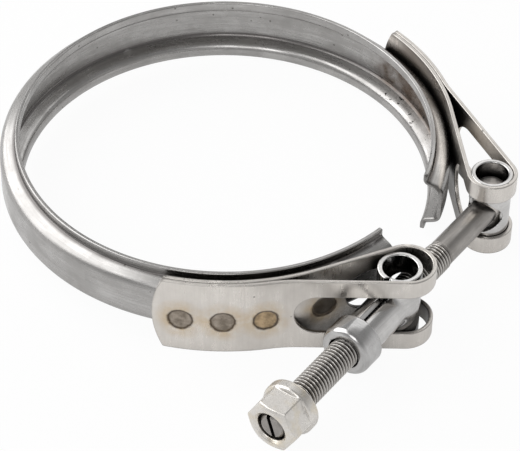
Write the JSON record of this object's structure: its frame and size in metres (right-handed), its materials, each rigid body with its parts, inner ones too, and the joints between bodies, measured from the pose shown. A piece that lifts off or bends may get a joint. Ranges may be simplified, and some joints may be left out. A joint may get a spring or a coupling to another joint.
{
  "type": "v band clamp",
  "caption": "Stainless V-section band clamp whose T-bolt and flange nut draw the ring shut over two tapered pipe flanges.",
  "frame": {"origin": "centre of the ring, half way up the V retainer", "axes": "+Z along the ring's axis; the bolt runs along -Y beside the ring on its +X side, from its trunnion toward the nut"},
  "size_m": [0.1375, 0.1366, 0.0232],
  "materials": {
    "retainer_steel": "bright rolled stainless sheet, lightly worn and heat tinted",
    "strap_steel": "satin stainless strip with brown weld tint",
    "trunnion_steel": "drawn stainless, dull inside",
    "collar_steel": "turned and polished",
    "bolt_steel": "dark rolled thread with bright crests",
    "nut_plate": "silvery white plating, slightly yellow"
  },
  "bodies": {
    "ring": {"v_retainer": "retainer_steel", "bolt_side_strap": "strap_steel", "nut_side_strap": "strap_steel"},
    "bolt": {"bolt_trunnion": "trunnion_steel", "clamp_bolt": "bolt_steel"},
    "nut_seat": {"nut_trunnion": "trunnion_steel", "nut_seat_collar": "collar_steel"},
    "nut": {"lock_nut": "nut_plate"}
  },
  "joints": [
    {"name": "bolt_swivel", "type": "hinge", "parent": "ring", "child": "bolt", "pos_m": [0.068, 0.0258, 0], "axis": [0, 0, 1], "range_deg": [0, 2.1]},
    {"name": "seat_slide", "type": "slide", "parent": "bolt", "child": "nut_seat", "axis": [0, 1, 0], "range_m": [0, 0.0017]},
    {"name": "nut_travel", "type": "slide", "parent": "bolt", "child": "nut", "axis": [0, 1, 0], "range_m": [-0.008, 0.0191]}
  ],
  "couplings": [
    {"joint": "seat_slide", "follows": "bolt_swivel", "m_per_rad": 0.0462}
  ]
}
